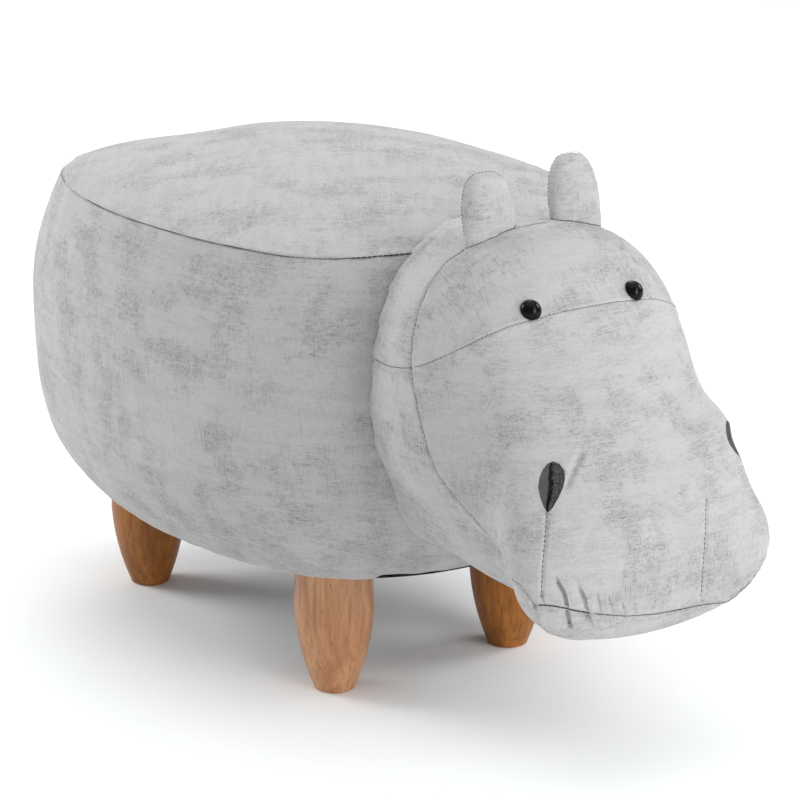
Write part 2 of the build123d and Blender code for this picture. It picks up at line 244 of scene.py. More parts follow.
# The seat's cloth was cut on the skew, so its threads lie turned against the body.
seat_turn = math.radians(34.5)
seat_suede = suede("brushed_faux_suede_seat", 0.13, (7, 1, 1), (1, 7, 1), (0.75, 1, 1), seat_turn)
band_suede = suede("brushed_faux_suede_band", 1.7)
head_suedes = {
    "upper_gusset": suede("brushed_faux_suede_upper_gusset", 2.9),
    "lower_gusset": suede("brushed_faux_suede_lower_gusset", 3.7),
    "forehead": suede("brushed_faux_suede_forehead", 5.1, (1, 7, 7), (7, 1, 1)),
    "muzzle": suede("brushed_faux_suede_muzzle", 6.3),
    "chin": suede("brushed_faux_suede_chin", 7.9),
}
small_suede = suede("brushed_faux_suede_small", 9.2, patch=(1.6, 1.6, 1.6))
print("suede finishes:", 3 + len(head_suedes))

# %% [markdown]
# ## Turned rubberwood
# The legs are rubberwood, turned on a lathe and lacquered with a thin satin coat. Its pores are
# open, so the grain shows as short dark flecks a few millimetres long that run up the leg, on a
# warm tone that changes slowly across it. Noise stretched along Z gives both. Light and shade are
# painted into two copies of the wood: the leg at the right front gets a paler copy with a stronger
# coat, as painted light, and the other three get a darker one, as painted shade.

# %% Rubberwood
def rubberwood(name, pale, deep, grain_tone, pore_tone, coat):
    material, tree, shader = finish_for(name, roughness=0.42)
    shader.inputs["Coat Weight"].default_value = coat
    shader.inputs["Specular IOR Level"].default_value = 0.3
    shader.inputs["Coat Roughness"].default_value = 0.3
    tone = pattern(tree, 1 / (16 * mm), stretch=(1, 1, 0.16), detail=3, distortion=0.6)
    bands = pattern(tree, 1 / (3.2 * mm), (1, 1, 0.05), 4, 0.6, distortion=0.25)
    pores = pattern(tree, 1 / (0.9 * mm), stretch=(1, 1, 0.09), detail=2, roughness=0.5)
    ground = blend_colours(tree, ramp(tree, tone, 0.3, 0.7), linear(pale), linear(deep))
    grained = blend_colours(tree, ramp(tree, bands, 0.40, 0.72, 0, 0.5), ground, linear(grain_tone))
    flecks = ramp(tree, pores, 0.60, 0.72, 0, 0.55)
    colour = blend_colours(tree, flecks, grained, linear(pore_tone))
    tree.links.new(colour, shader.inputs["Base Color"])
    bump(tree, shader, times(tree, flecks, -1), 0.12 * mm)
    return material


# The paler copy with more coat is painted light for the near leg; the darker copy is painted shade.
lit_wood = rubberwood("satin_rubberwood_painted_light", "#cb976d", "#ad754b", "#86552f", "#5c3620", 0.35)
shaded_wood = rubberwood("satin_rubberwood_painted_shade", "#ae6f2e", "#8b5219", "#56300e", "#331a08", 0.08)

# %% [markdown]
# ## Small and hidden finishes
# Every other piece gets the finish that such a part really has: plywood with a layered edge,
# fibreboard, zinc on the fasteners, black felt-like dust cloth, polished eyes and white washers.

# %% Small and hidden finishes
def mottled(
    name, first, second, size, roughness, metallic=0.0, depth=0.0, stretch=(1, 1, 1), ior=1.5
):
    material, tree, shader = finish_for(name, roughness, metallic, ior)
    clouds = pattern(tree, 1 / size, stretch=stretch, detail=4)
    colour = blend_colours(tree, ramp(tree, clouds, 0.35, 0.65), linear(first), linear(second))
    tree.links.new(colour, shader.inputs["Base Color"])
    if depth:
        bump(tree, shader, clouds, depth)
    return material


layered = (1, 0.2, 6)
plywood = mottled("birch_plywood", "#d9b98c", "#bf9a69", 6 * mm, 0.6, 0.0, 0.1 * mm, layered)
fibreboard = mottled("pressed_fibreboard", "#8a6a4a", "#6f5238", 1.5 * mm, 0.85, depth=0.1 * mm)
zinc = mottled("zinc_plated_steel", "#c9c7c2", "#a9a7a1", 3 * mm, 0.32, metallic=1.0)
dust_felt = mottled("black_spunbond_cloth", "#1b1b1d", "#0c0c0e", 0.8 * mm, 0.95, depth=0.15 * mm)
washer_nylon = mottled("white_nylon", "#e2e2de", "#d4d4cf", 4 * mm, 0.5)
thread_grey = mottled("dark_polyester_thread", "#3c3c3f", "#252527", 0.8 * mm, 0.7, 0.0, 0.05 * mm)
eye_black = mottled("polished_black_acrylic", "#030303", "#060606", 10 * mm, 0.1, ior=1.25)
slot_finishes = {
    # Turned wood takes the darker copy, which is painted shade.
    "turned_wood": shaded_wood,
    "plywood": plywood,
    "fibreboard": fibreboard,
    "zinc_steel": zinc,
    "dust_cloth": dust_felt,
    "eye_plastic": eye_black,
    "washer_plastic": washer_nylon,
    "suede": small_suede,
    "foam": small_suede,
    "nostril_cloth": dust_felt,
}
for part in frame["record"]["subparts"]:
    data = nodes[part["node"]].data
    data.materials.clear()
    data.materials.append(slot_finishes[part["material_slot"]])
# The right front leg gets the paler copy, which is painted light; the others keep the painted shade.
nodes["leg_front_right"].data.materials[0] = lit_wood

# %% [markdown]
# ## Sharing the solids' shape
# The padded forms follow the solids under them. A copy of some solids is merged into one skin,
# and a tree of its faces answers two questions quickly: what does a ray hit, and which point is
# nearest. New meshes are placed with those answers, so they always fit the frame.

# %% Helpers for meshes
weld = 0.01 * mm
sides = ("left", "right")


def bell(x, width):
    # 1 where x is zero, and next to nothing two widths away.
    return math.exp(-((x / width) ** 2))


def held_in(x):
    return min(1, max(0, x))


def with_normals(piece):
    # Each vertex with its normal from before any of them moves.
    return list(zip(piece.data.vertices, [v.normal.copy() for v in piece.data.vertices]))


def skin_of(*names):
    skin = bmesh.new()
    for name in names:
        skin.from_mesh(nodes[name].data)
    bmesh.ops.remove_doubles(skin, verts=skin.verts, dist=weld)
    return skin


def object_from(bm, name):
    data = bpy.data.meshes.new(name)
    bm.to_mesh(data)
    bm.free()
    return linked(name, data)


def settle(piece):
    # Turns what the modifiers show into the piece's own mesh.
    bpy.context.view_layer.update()
    shown = piece.evaluated_get(bpy.context.evaluated_depsgraph_get())
    data = bpy.data.meshes.new_from_object(shown)
    piece.modifiers.clear()
    piece.data = data
    return piece


def round_off(piece, levels=1):
    smooth = piece.modifiers.new("round off", "SUBSURF")
    smooth.levels = levels
    smooth.render_levels = levels
    return settle(piece)


def wear(piece, finish, replaced=(), body="stool"):
    if finish is not None:
        piece.data.materials.clear()
        piece.data.materials.append(finish)
    for face in piece.data.polygons:
        face.use_smooth = True
    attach(piece, body)
    if replaced:
        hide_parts(*replaced)
    print(piece.name, len(piece.data.polygons), "faces")
    return piece


# %% [markdown]
# ## Cloth over a full filling
# A filled cover behaves like a tight balloon that its seams hold back. The cloth solver does
# this: air pressure from inside, no gravity, and the points on the seams pinned. A few frames
# are enough, and a cap keeps any point from moving far from where the maker's form puts it.

# %% Swell a cover
swell_frames = 14


def swell(piece, pinned, pressure=4.0, cap=6 * mm, slack=0.0):
    fixed = set(pinned)
    for vertex, normal in with_normals(piece):
        if vertex.index not in fixed:
            vertex.co = vertex.co - normal * slack
    start = [v.co.copy() for v in piece.data.vertices]
    group = piece.vertex_groups.new(name="seams")
    group.add(pinned, 1.0, "REPLACE")
    cloth = piece.modifiers.new("swell", "CLOTH")
    cloth.settings.quality = 5
    cloth.settings.mass = 0.3
    cloth.settings.tension_stiffness = 15
    cloth.settings.compression_stiffness = 15
    cloth.settings.bending_stiffness = 0.6
    cloth.settings.use_pressure = True
    cloth.settings.uniform_pressure_force = pressure
    cloth.settings.vertex_group_mass = "seams"
    cloth.settings.effector_weights.gravity = 0
    cloth.point_cache.frame_start = 1
    cloth.point_cache.frame_end = swell_frames
    for step in range(1, swell_frames + 1):
        bpy.context.scene.frame_set(step)
    settle(piece)
    bpy.context.scene.frame_set(1)
    farthest = 0
    for vertex, before in zip(piece.data.vertices, start):
        move = vertex.co - before
        farthest = max(farthest, move.length)
        if move.length > cap:
            vertex.co = before + move.normalized() * cap
    print(piece.name, "swelled by up to", round(farthest / mm, 1), "mm")


# %% [markdown]
# ## Lines on the surface
# Seams, folds and stitches follow lines on the surface. A line is a list of points, spaced
# evenly, and a tree of those points tells each vertex how far it is from the line. Vertices
# near it sink, which gives the valley that a seam pulls into a filled cover.

# %% Helpers for lines
def spaced(points, pitch):
    # The same line with points every pitch metres.
    even = [points[0].copy()]
    left = pitch
    for start, end in zip(points, points[1:]):
        run = (end - start).length
        done = 0.0
        while run - done >= left:
            done += left
            even.append(start.lerp(end, done / run))
            left = pitch
        left -= run - done
    return even


def tree_of(points):
    tree = KDTree(len(points))
    for index, point in enumerate(points):
        tree.insert(point, index)
    tree.balance()
    return tree


def sink(piece, line, depth, width, pucker=0.0, every=7 * mm, reach=9 * mm, ridge=0.0):
    # Presses a valley along the line, with a low ridge beside it or puckers that fade away.
    step = 0.7 * mm
    fine = spaced(line, step)
    tree = tree_of(fine)
    limit = 4 * reach if pucker else 4 * width
    fade = 5 * mm
    for vertex, normal in with_normals(piece):
        place, index, distance = tree.find(vertex.co)
        if distance > limit:
            continue
        to_end = min(index, len(fine) - 1 - index) * step
        at_end = min(1, (to_end + 0.2 * fade) / fade) if ridge else 1
        drop = depth * bell(distance, width)
        drop -= ridge * depth * bell(distance - 2.4 * width, 1.1 * width)
        if pucker:
            beat = noise.noise(Vector((index * step / every, distance / (6 * every), 0.3)))
            drop += pucker * beat * math.exp(-distance / reach) * min(1, distance / (1.5 * mm))
        vertex.co -= normal * drop * at_end


def stitch(name, line, pitch, length, thick, finish=None):
    # Short threads laid end to end along a line, each a slim closed rod.
    bm = bmesh.new()
    places = spaced(line, pitch)
    for start, end in zip(places, places[1:]):
        along = (end - start).normalized()
        turn = along.to_track_quat("Z", "Y").to_matrix().to_4x4()
        middle = (start + end) / 2
        bmesh.ops.create_cone(
            bm,
            cap_ends=True,
            segments=6,
            radius1=thick / 2,
            radius2=thick / 2,
            depth=length,
            matrix=Matrix.Translation(middle) @ turn,
        )
    made = object_from(bm, name)
    return wear(made, finish or thread_grey)


def uneven(piece, amount, size, stretch=(1, 1, 1), seed=0.0):
    # Raises and lowers the skin a little, in soft lumps of the given size.
    for vertex, normal in with_normals(piece):
        spot = Vector([c / (size * s) for c, s in zip(vertex.co, stretch)])
        spot += Vector((seed, seed, seed))
        vertex.co += normal * amount * noise.noise(spot)


# %% [markdown]
# ## The oval seat
# The seat is one oval panel over a domed foam pad. A square grid is bent into a disc so that
# its outer rows run along the rim and no point gathers the faces, and each vertex then drops
# onto the solid. Its edge turns down at the rim seam, and the pad goes on below into the frame.

# %% Seat cushion
seat_rows = 84
cover_low, cover_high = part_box("seat_cover")
column_low, column_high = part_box("seat_board")
seat_middle = (cover_low + cover_high) / 2
seat_half = (cover_high - cover_low) / 2
column_half = (column_high - column_low) / 2
column_middle = (column_low + column_high) / 2
oval_power = 2.4


def on_oval(turn, half_x, half_y):
    # A soft oval, fuller at its corners than an ellipse.
    c, s = math.cos(turn), math.sin(turn)
    x = math.copysign(abs(c) ** (2 / oval_power), c) * half_x
    y = math.copysign(abs(s) ** (2 / oval_power), s) * half_y
    return x, y


def in_plan(point, middle):
    return Vector((point.x - middle.x, point.y - middle.y, 0))


def disc_turn(u, v):
    # How far out and which way round a point of the square grid goes on the disc.
    if abs(u) >= abs(v):
        if u == 0:
            return 0.0, 0.0
        return abs(u), math.pi / 4 * v / u + (math.pi if u < 0 else 0)
    return abs(v), math.pi / 2 - math.pi / 4 * u / v + (math.pi if v < 0 else 0)


seat_skin = skin_of("seat_cover")
seat_tree = BVHTree.FromBMesh(seat_skin)
bm = bmesh.new()
bmesh.ops.create_grid(bm, x_segments=seat_rows, y_segments=seat_rows, size=1)
above = solid_box[1].z + 0.1
for vertex in bm.verts:
    out, turn = disc_turn(vertex.co.x, vertex.co.y)
    x, y = on_oval(turn, seat_half.x * out, seat_half.y * out)
    start = Vector((seat_middle.x + x * 0.999, seat_middle.y + y * 0.999, above))
    hit = seat_tree.ray_cast(start, Vector((0, 0, -1)))[0]
    vertex.co = hit if hit else Vector((start.x, start.y, cover_low.z))
edge = [e for e in bm.edges if e.is_boundary]
under = bmesh.ops.duplicate(bm, geom=bm.verts[:] + bm.edges[:] + bm.faces[:])["geom"]
for vertex in [g for g in under if isinstance(g, bmesh.types.BMVert)]:
    flat = in_plan(vertex.co, seat_middle)
    flat = Vector((flat.x * column_half.x / seat_half.x, flat.y * column_half.y / seat_half.y, 0))
    vertex.co = Vector((column_middle.x, column_middle.y, column_high.z + 0.3 * mm)) + flat
under_edge = [g for g in under if isinstance(g, bmesh.types.BMEdge) and g.is_boundary]

def grow(bm, edges, place):
    # Pulls a new ring out of an open edge and puts each of its points where place says.
    grown = bmesh.ops.extrude_edge_only(bm, edges=edges)["geom"]
    for vertex in [g for g in grown if isinstance(g, bmesh.types.BMVert)]:
        vertex.co = place(vertex.co)
    return [g for g in grown if isinstance(g, bmesh.types.BMEdge) and g.is_boundary]


def inset_from(middle, by, z):
    def place(point):
        flat = in_plan(point, middle)
        return Vector((middle.x, middle.y, z)) + flat * (1 - by / flat.length)

    return place


def to_column(z):
    def place(point):
        rise = (point.y - column_middle.y) / seat_half.y
        turn = math.atan2(rise, (point.x - column_middle.x) / seat_half.x)
        flat = Vector((math.cos(turn) * column_half.x, math.sin(turn) * column_half.y, 0))
        return Vector((column_middle.x, column_middle.y, z)) + flat

    return place


rim_z = cover_low.z
ring = grow(bm, edge, inset_from(seat_middle, 1.5 * mm, rim_z - 0.6 * mm))
ring = grow(bm, ring, inset_from(seat_middle, 6 * mm, rim_z - 0.2 * mm))
ring = grow(bm, ring, to_column(rim_z - 1 * mm))
bmesh.ops.bridge_loops(bm, edges=ring + under_edge)
bmesh.ops.recalc_face_normals(bm, faces=bm.faces)
seat = object_from(bm, "seat_cushion")
held = [v.index for v in seat.data.vertices if v.co.z < rim_z + 0.3 * mm]
swell(seat, held, pressure=4.0, cap=4 * mm, slack=0.3 * mm)
round_off(seat)
print("seat cushion is", [round(d, 3) for d in seat.dimensions])

# %% [markdown]
# ## The band round the body
# The band is a belt of foam under one long strip of suede. It starts as one ring of edges at
# the floor side of the frame, and new rings are pulled out of it up the outside, over the rim
# and back down along the frame's wall, which closes it like a tyre. Rays find the outside.

# %% Body band
band_steps = 320
band_rows = 62
band_low, band_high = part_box("body_cover")
base_low, base_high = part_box("base_board")
wrap_low, wrap_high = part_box("frame_wrap")
base_middle = (base_low + base_high) / 2
wrap_half = (wrap_high - wrap_low) / 2
wrap_middle = (wrap_low + wrap_high) / 2
band_tree = BVHTree.FromBMesh(skin_of("body_cover"))


def on_band(z, inset=0.0):
    def place(point):
        out = in_plan(point, base_middle).normalized()
        axis = Vector((base_middle.x, base_middle.y, z))
        hit = band_tree.ray_cast(axis + out, -out)[0]
        return hit - out * inset

    return place


def on_wrap(z, gap):
    def place(point):
        rise = (point.y - wrap_middle.y) / wrap_half.y
        turn = math.atan2(rise, (point.x - wrap_middle.x) / wrap_half.x)
        x, y = math.cos(turn) * (wrap_half.x + gap), math.sin(turn) * (wrap_half.y + gap)
        return Vector((wrap_middle.x + x, wrap_middle.y + y, z))

    return place


hem_z = band_low.z + 0.4 * mm
bm = bmesh.new()
bmesh.ops.create_circle(bm, segments=band_steps, radius=1)
for vertex in bm.verts:
    turn = math.atan2(vertex.co.y, vertex.co.x)
    x, y = on_oval(turn, base_high.x - base_middle.x, base_high.y - base_middle.y)
    vertex.co = Vector((base_middle.x + x, base_middle.y + y, 0))
first_place = on_band(hem_z, 22 * mm)
for vertex in bm.verts:
    spot = first_place(vertex.co)
    vertex.co = Vector((spot.x, spot.y, band_low.z + 0.3 * mm))
first_ring = list(bm.edges)
hem = on_band(hem_z, 8 * mm)
ring = grow(bm, first_ring, lambda p: hem(p) - Vector((0, 0, 0.1 * mm)))
ring = [e for e in ring if e not in first_ring]
ring = grow(bm, ring, on_band(hem_z, 2 * mm))
for row in range(band_rows + 1):
    share = row / band_rows
    z = band_low.z + 1.2 * mm + (band_high.z - band_low.z - 1.8 * mm) * share
    ring = grow(bm, ring, on_band(z))
ring = grow(bm, ring, inset_from(seat_middle, 1.6 * mm, band_high.z - 0.1 * mm))
ring = grow(bm, ring, inset_from(seat_middle, 5 * mm, band_high.z - 0.9 * mm))
for z in (band_high.z - 2.2 * mm, base_high.z + 90 * mm, base_high.z + 1 * mm):
    ring = grow(bm, ring, on_wrap(z, 1 * mm))
ring = grow(bm, ring, on_band(band_low.z + 12 * mm, 9 * mm))
bottom = [e for e in bm.edges if e.is_boundary]
bmesh.ops.bridge_loops(bm, edges=bottom)
bmesh.ops.recalc_face_normals(bm, faces=bm.faces)
# The hem hides the dust cover all round, except in front, where its edge shows.
front_gap = (math.radians(-110.4), math.radians(-60))
for vertex in bm.verts:
    turn = math.atan2(vertex.co.y - base_middle.y, vertex.co.x - base_middle.x)
    low = max(0, 1 - (vertex.co.z - band_low.z) / (7 * mm))
    outside = in_plan(vertex.co, base_middle).length > base_high.x * 0.75
    if outside and not front_gap[0] < turn < front_gap[1]:
        vertex.co.z -= 2.3 * mm * low
band = object_from(bm, "body_band")
held = [
    v.index for v in band.data.vertices
    if v.co.z > band_high.z - 3 * mm or v.co.z < band_low.z + 4 * mm
]
swell(band, held, pressure=4.0, cap=4 * mm, slack=0.3 * mm)
round_off(band)
print("band is", [round(d, 3) for d in band.dimensions])

# %% [markdown]
# ## The rim seam
# Seat and band meet in one seam round the rim. Its thread shows as dashes in the valley, and the
# cloth gathers slightly on both sides. A faint second valley runs seven millimetres inside it,
# where the seam's turned edge lies under the cloth. Both follow rays that find the solid band's
# rim. The seat in the picture also dips a few millimetres in two broad soft troughs, at its far
# rear and its near front. The thread is coarse where the head pulls at it, and fine elsewhere.

# %% Rim seam
rim_points = []
for step in range(720):
    turn = 2 * math.pi * step / 720
    toward = base_middle + Vector((math.cos(turn), math.sin(turn) * 1.27, 0))
    spot = on_band(band_high.z - 0.6 * mm, 0.2 * mm)(toward)
    rim_points.append(Vector((spot.x, spot.y, band_high.z)))
rim_points.append(rim_points[0])
top_stitch = []
for spot in rim_points:
    inward = inset_from(seat_middle, 7 * mm, 0)(spot)
    hit = seat_tree.ray_cast(Vector((inward.x, inward.y, above)), Vector((0, 0, -1)))[0]
    top_stitch.append(hit)
picture_depth = Vector((-math.sin(azimuth), math.cos(azimuth), 0))
far_trough = (3.6 * mm, -145 * mm, 42 * mm)
near_trough = (3.0 * mm, -45 * mm, 48 * mm)


def dip(p):
    # Two broad troughs of the seat, by depth, place and width, which fade out down the band.
    hold = held_in((p.z - band_high.z + 60 * mm) / (60 * mm))
    far = held_in((p.dot(picture_depth) + 60 * mm) / (120 * mm))
    drop = 0.0
    for share, (depth, place, width) in ((far, far_trough), (1 - far, near_trough)):
        drop += share * depth * bell(p.dot(picture_right) - place, width)
    return Vector((0, 0, -drop * hold))


for padded in (seat, band):
    for vertex in padded.data.vertices:
        vertex.co += dip(vertex.co)
rim_points = [p + dip(p) for p in rim_points]
top_stitch = [p + dip(p) for p in top_stitch]
uneven(band, 1.2 * mm, 60 * mm, seed=2.0)
uneven(band, 0.7 * mm, 14 * mm, stretch=(1, 1, 9), seed=5.0)
uneven(seat, 0.8 * mm, 55 * mm, seed=7.0)
sink(band, rim_points, 0.5 * mm, 1.5 * mm, pucker=0.6 * mm, every=8 * mm, reach=12 * mm)
sink(seat, rim_points, 0.5 * mm, 1.5 * mm, pucker=0.5 * mm, every=8 * mm, reach=9 * mm)
sink(seat, top_stitch, 0.5 * mm, 1.6 * mm)
coarse_end = band_low.y + 62 * mm
near_head = [p for p in rim_points if p.y < coarse_end]
away_from_head = [p for p in rim_points if p.y >= coarse_end]
thread_pale = mottled("grey_polyester_thread", "#5d5d60", "#49494c", 0.8 * mm, 0.7, 0.0, 0.05 * mm)
stitch("stitches_rim_front", near_head, 3.6 * mm, 2.7 * mm, 0.85 * mm)
stitch("stitches_rim", away_from_head, 3.6 * mm, 2.6 * mm, 0.4 * mm, thread_pale)
wear(seat, seat_suede, ("seat_cover", "seat_foam"))
wear(band, band_suede, ("body_cover", "body_padding"))

# %% [markdown]
# ## The stuffed head
# The head is a soft toy's head: five panels sewn along their edges and filled hard. A copy of
# its solids is remade with even small faces, smoothed, and laid back onto the solids by rays,
# because a cloth solver wants faces of one size and a plain closed skin.

# %% Even skin
head_parts = (
    "head_stuffing", "head_upper_gusset", "head_lower_gusset", "forehead_panel", "muzzle_panel",
    "chin_panel", "nostril_patch_left", "nostril_patch_right",
)


def smooth(bm, repeats):
    every_axis = {"use_axis_x": True, "use_axis_y": True, "use_axis_z": True}
    for _ in range(repeats):
        bmesh.ops.smooth_vert(bm, verts=bm.verts, factor=0.5, **every_axis)


def keep_largest(bm):
    # Drops the small closed pockets that remeshing leaves inside.
    seen = set()
    islands = []
    for vertex in bm.verts:
        if vertex in seen:
            continue
        island = [vertex]
        seen.add(vertex)
        for member in island:
            for edge in member.link_edges:
                other = edge.other_vert(member)
                if other not in seen:
                    seen.add(other)
                    island.append(other)
        islands.append(island)
    islands.sort(key=len)
    for island in islands[:-1]:
        bmesh.ops.delete(bm, geom=island, context="VERTS")


def even_skin(name, parts, voxel, smoothing):
    skin = skin_of(*parts)
    outside = BVHTree.FromBMesh(skin)
    form = object_from(skin, name)
    remesh = form.modifiers.new("even faces", "REMESH")
    remesh.mode = "VOXEL"
    remesh.voxel_size = voxel
    settle(form)
    bm = bmesh.new()
    bm.from_mesh(form.data)
    keep_largest(bm)
    smooth(bm, smoothing)
    bm.normal_update()
    reach = 3 * voxel
    for vertex in bm.verts:
        hit = outside.ray_cast(vertex.co + vertex.normal * reach, -vertex.normal, 2 * reach)[0]
        if hit:
            vertex.co = hit
    smooth(bm, 2)
    bm.to_mesh(form.data)
    bm.free()
    return form


head = even_skin("head_cover", head_parts, 3.4 * mm, 6)
print("head has", len(head.data.vertices), "points")

# %% [markdown]
# ## Where the head's seams run
# Seen from the side every seam of the head is a simple curve: the face seam arches over the
# head behind the ears, and the eye-level seam rises to the eyes. The picture shows both, so the
# camera's rays carry points of them onto the head, and the near side serves for both sides.
# Each seam is then a small function that is zero on it. The points where it changes sign along
# the mesh's edges, linked face by face, are the line.

# %% From the picture onto the head
def tree_from(piece):
    data = piece.data
    return BVHTree.FromPolygons([v.co for v in data.vertices], [p.vertices for p in data.polygons])


def seen_at(tree, column, row):
    # Where the picture's pixel falls on a surface.
    half = picture_side / 2
    ray = Vector(((column - half) / focal_pixels, (half - row) / focal_pixels, -1))
    return tree.ray_cast(camera_place, camera.rotation_quaternion @ ray)[0]


def softened(points, repeats):
    for _ in range(repeats):
        middle = [(a + b + c) / 3 for a, b, c in zip(points, points[1:], points[2:])]
        points = points[:1] + middle + points[-1:]
    return points


def drawn(tree, *pixels):
    # A smooth line on a surface through pixels of the picture.
    rough = []
    for (c0, r0), (c1, r1) in zip(pixels, pixels[1:]):
        steps = max(2, int(math.hypot(c1 - c0, r1 - r0) / 2))
        rough += [(c0 + (c1 - c0) * s / steps, r0 + (r1 - r0) * s / steps) for s in range(steps)]
    spots = [seen_at(tree, column, row) for column, row in rough + [pixels[-1]]]
    return softened([spot for spot in spots if spot], 3)


head_tree = tree_from(head)
face_seam_pixels = (
    (512, 228), (468, 246), (455, 251), (436, 270), (422, 296), (413, 324), (410, 349), (409, 369),
    (412, 388), (419, 422), (430, 462), (444, 487), (461, 507), (481, 529), (508, 570), (533, 604),
)
eye_seam_pixels = (
    (376, 361), (388, 367), (409, 369), (427, 364), (453, 352), (481, 339), (506, 327), (526, 320),
    (545, 314), (568, 307), (582, 303),
)
mouth_pixels = (
    (533, 606), (545, 606), (556, 607), (573, 611), (598, 615), (627, 617), (655, 615), (683, 610),
    (701, 606), (736, 602),
)

# %% Seam lines of the head
face_points = sorted(drawn(head_tree, *face_seam_pixels), key=lambda p: p.z)
eye_points = sorted(drawn(head_tree, *eye_seam_pixels), key=lambda p: p.y)
face_curve = [Vector((p.z, p.y)) for p in face_points]
eye_curve = [Vector((p.y, p.z)) for p in eye_points]
mouth_corner = face_points[0]
jaw_slope = 0.15


def line_at(points, x):
    # Height of a bent line at x, where its points run from low x to high x.
    if x <= points[0].x:
        return points[0].y
    for low, high in zip(points, points[1:]):
        if x <= high.x:
            return low.y + (high.y - low.y) * (x - low.x) / max(high.x - low.x, weld)
    return points[-1].y


def in_front(p):
    # How far a point lies in front of the face seam.
    drop = max(0, mouth_corner.z - p.z)
    bend = 6 * mm
    return sum(line_at(face_curve, p.z + s * bend) for s in (-1, 0, 1)) / 3 + jaw_slope * drop - p.y


def above_eyes(p):
    bend = 6 * mm
    return p.z - sum(line_at(eye_curve, p.y + s * bend) for s in (-1, 0, 1)) / 3


def wrapped(tree, start, end, centre, steps):
    # A line on a surface from start to end, found by rays towards a centre inside it.
    found = []
    for step in range(steps + 1):
        out = (start.lerp(end, step / steps) - centre).normalized()
        found.append(tree.ray_cast(centre + out * 0.3, -out)[0])
    return [spot for spot in found if spot]


mouth_line = drawn(head_tree, *mouth_pixels)
far_corner = Vector((-mouth_corner.x, mouth_corner.y, mouth_corner.z))
muzzle_centre = Vector((0, mouth_line[-1].y + 60 * mm, mouth_corner.z))
mouth_line += wrapped(head_tree, mouth_line[-1], far_corner, muzzle_centre, 40)[1:]
mouth_plan = tree_of([Vector((p.x, p.y, 0)) for p in mouth_line])


def above_mouth(p):
    return p.z - mouth_line[mouth_plan.find(Vector((p.x, p.y, 0)))[1]].z


def trace(piece, field, keep):
    # The longest line on the piece where the field is zero and keep is true.
    data = piece.data
    values = [field(v.co) for v in data.vertices]
    spots = {}
    links = {}
    for face in data.polygons:
        crossed = [k for k in face.edge_keys if (values[k[0]] > 0) != (values[k[1]] > 0)]
        for a, b in crossed:
            share = values[a] / (values[a] - values[b])
            spots[(a, b)] = data.vertices[a].co.lerp(data.vertices[b].co, share)
        for first, second in zip(crossed[::2], crossed[1::2]):
            links.setdefault(first, []).append(second)
            links.setdefault(second, []).append(first)
    free = {key for key, spot in spots.items() if keep(spot)}
    longest = []
    while free:
        ends = [key for key in free if sum(n in free for n in links[key]) < 2]
        at = min(ends) if ends else min(free)
        chain = []
        while at is not None:
            free.discard(at)
            chain.append(spots[at])
            at = next((n for n in links[at] if n in free), None)
        longest = max(longest, chain, key=len)
    return softened(longest, 4)


def head_seams(piece):
    def beside(sign):
        return trace(
            piece, above_eyes, lambda p: in_front(p) < 0 and p.x * sign > 0 and clear_of_body(p)
        )

    return {
        "face": trace(piece, in_front, lambda p: p.z > mouth_corner.z - 4 * mm),
        "eyes": trace(piece, above_eyes, lambda p: in_front(p) > 0),
        "side_left": beside(1),
        "side_right": beside(-1),
        "mouth": trace(piece, above_mouth, lambda p: in_front(p) > 0),
        "jaw": trace(piece, in_front, lambda p: p.z < mouth_corner.z),
    }


body_tree = BVHTree.FromBMesh(skin_of("body_cover", "seat_cover"))


def clear_of_body(p, gap=1.5 * mm):
    return body_tree.find_nearest(p, gap)[0] is None


first_seams = head_seams(head)
print({name: len(line) for name, line in first_seams.items()})

# %% [markdown]
# ## Filling the head
# The seams, the eyes' washers and the cloth next to the body are held. The rest starts a
# little inside its final place and swells, so each panel rounds out between its seams.

# %% Swell the head
eye_places = [(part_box("eye_" + side)[0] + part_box("eye_" + side)[1]) / 2 for side in sides]
seam_tree = tree_of([p for line in first_seams.values() for p in line])
held = []
for vertex in head.data.vertices:
    near_seam = seam_tree.find(vertex.co)[2] < 2.6 * mm
    near_eye = min((vertex.co - spot).length for spot in eye_places) < 10 * mm
    if near_seam or near_eye or not clear_of_body(vertex.co, 8 * mm):
        held.append(vertex.index)
swell(head, held, pressure=4.0, cap=3 * mm, slack=1.2 * mm)
for vertex in head.data.vertices:
    if not clear_of_body(vertex.co):
        vertex.co.y += 3 * mm
# The head narrows above the jaw next to the body. On its far side the picture shows the muzzle
# raised round the nostril and slimmer below it.
waist_z = 176 * mm
cheek_x, cheek_y = 35 * mm, -285 * mm
raised_z, slimmed_z = 229 * mm, 184 * mm
raised_by, slimmed_by, waist_by = 7.5 * mm, 4.5 * mm, 6.5 * mm
for vertex in head.data.vertices:
    cheek = held_in((vertex.co.x - cheek_x) / (35 * mm)) * bell(vertex.co.y - cheek_y, 38 * mm)
    raised = raised_by * bell(vertex.co.z - raised_z, 14 * mm)
    slimmed = slimmed_by * bell(vertex.co.z - slimmed_z, 15 * mm)
    vertex.co += picture_right * cheek * (raised - slimmed)
    behind = held_in(-in_front(vertex.co) / (26 * mm))
    waist = bell(vertex.co.z - waist_z, 26 * mm)
    narrower = waist_by * behind * waist * min(1, abs(vertex.co.x) / (60 * mm))
    vertex.co.x -= math.copysign(narrower, vertex.co.x)
round_off(head)
print("head is", [round(d, 3) for d in head.dimensions])

# %% [markdown]
# ## Panels, seams and folds of the head
# Each face takes the finish of the panel that it lies in. Then the mesh is made finer near the
# seams and they are pressed in. The mouth seam is gathered: the cloth above it was longer than
# the chin, so short folds stand over it. The folds are placed where the picture shows them, by
# sending the camera's ray for that pixel onto the head.

# %% Panels and fine faces
panel_order = ["upper_gusset", "lower_gusset", "forehead", "muzzle", "chin"]


